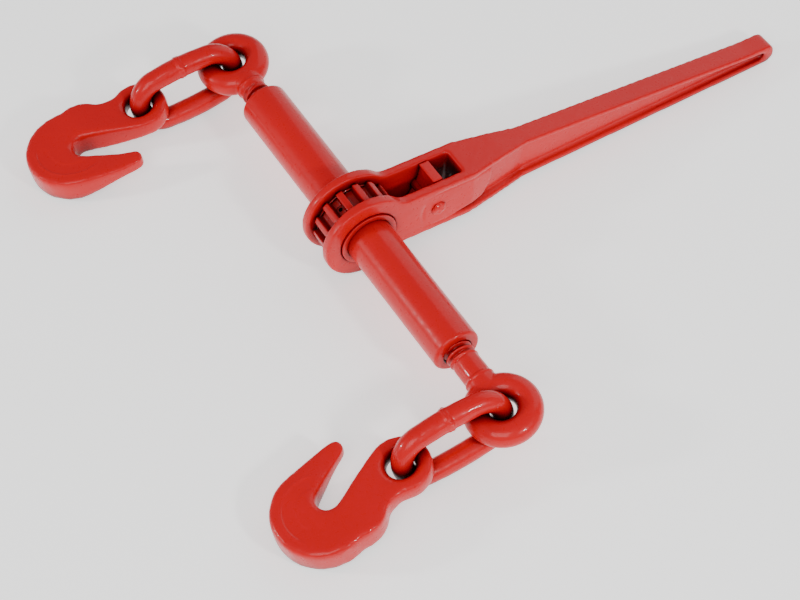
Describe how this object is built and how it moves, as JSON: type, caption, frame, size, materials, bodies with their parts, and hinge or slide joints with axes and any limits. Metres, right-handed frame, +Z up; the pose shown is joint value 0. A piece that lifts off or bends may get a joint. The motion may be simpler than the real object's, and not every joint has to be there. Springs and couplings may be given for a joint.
{
  "type": "ratchet load binder",
  "caption": "Ratchet chain load binder: a lever turns a tube that draws in an eye screw at each end, each with a link and a grab hook for chain.",
  "frame": {"origin": "middle of the footprint, on the floor that the binder lies on", "axes": "+X along the tube towards the right hook, +Y from the tube towards the handle tip, +Z up from the floor"},
  "size_m": [0.4118, 0.5199, 0.066],
  "materials": {
    "red_paint": "glossy enamel over forged steel",
    "plain_steel": "machined and oiled",
    "spring_steel": "dark, oiled"
  },
  "bodies": {
    "bearing": {"right_ear_bush": "red_paint", "left_ear_bush": "red_paint"},
    "barrel": {"barrel_tube": "red_paint", "right_threaded_insert": "red_paint", "left_threaded_insert": "red_paint", "ratchet_gear": "red_paint", "gear_spring_pin": "spring_steel"},
    "handle": {"handle": "red_paint", "pawl_rivet": "red_paint", "detent_spring": "spring_steel"},
    "pawl": {"pawl": "red_paint"},
    "plunger": {"detent_plunger": "spring_steel"},
    "right_screw": {"right_eye_screw": "red_paint", "right_stop_collar": "plain_steel", "right_stop_pin": "spring_steel"},
    "left_screw": {"left_eye_screw": "red_paint", "left_stop_collar": "plain_steel", "left_stop_pin": "spring_steel"},
    "right_link": {"right_link": "red_paint"},
    "left_link": {"left_link": "red_paint"},
    "right_hook": {"right_hook": "red_paint"},
    "left_hook": {"left_hook": "red_paint"}
  },
  "joints": [
    {"name": "barrel_turn", "type": "hinge", "parent": "bearing", "child": "barrel", "pos_m": [-0.00349, -0.09512, 0.033], "axis": [1, 0, 0], "range_deg": [-707.14, 7200]},
    {"name": "right_screw_slide", "type": "slide", "parent": "bearing", "child": "right_screw", "axis": [1, 0, 0], "range_m": [-0.00832, 0.08467]},
    {"name": "left_screw_slide", "type": "slide", "parent": "bearing", "child": "left_screw", "axis": [-1, 0, 0], "range_m": [-0.00832, 0.08467]},
    {"name": "handle_swing", "type": "hinge", "parent": "bearing", "child": "handle", "pos_m": [-0.00349, -0.09512, 0.033], "axis": [1, 0, 0], "continuous": true},
    {"name": "pawl_swing", "type": "hinge", "parent": "handle", "child": "pawl", "pos_m": [-0.00349, -0.03926, 0.02892], "axis": [1, 0, 0], "range_deg": [-12, 12]},
    {"name": "plunger_slide", "type": "slide", "parent": "handle", "child": "plunger", "axis": [0, -0.9973, 0.0729], "range_m": [-0.0015, 0.0007], "stiffness_N_per_m": 1500},
    {"name": "right_link_swing", "type": "hinge", "parent": "right_screw", "child": "right_link", "pos_m": [0.17651, -0.09512, 0.033], "axis": [0, -0.1378, 0.9905], "range_deg": [-30, 110]},
    {"name": "right_hook_swing", "type": "hinge", "parent": "right_link", "child": "right_hook", "pos_m": [0.17376, -0.1692, 0.02269], "axis": [0, -0.1378, 0.9905], "range_deg": [-45, 90]},
    {"name": "left_link_swing", "type": "hinge", "parent": "left_screw", "child": "left_link", "pos_m": [-0.17449, -0.09512, 0.033], "axis": [0, -0.1378, 0.9905], "range_deg": [-110, 30]},
    {"name": "left_hook_swing", "type": "hinge", "parent": "left_link", "child": "left_hook", "pos_m": [-0.17958, -0.16908, 0.02271], "axis": [0, -0.1378, 0.9905], "range_deg": [-90, 45]}
  ],
  "couplings": [
    {"joint": "right_screw_slide", "follows": "barrel_turn", "m_per_rad": 0.00067376},
    {"joint": "left_screw_slide", "follows": "barrel_turn", "m_per_rad": 0.00067376}
  ]
}
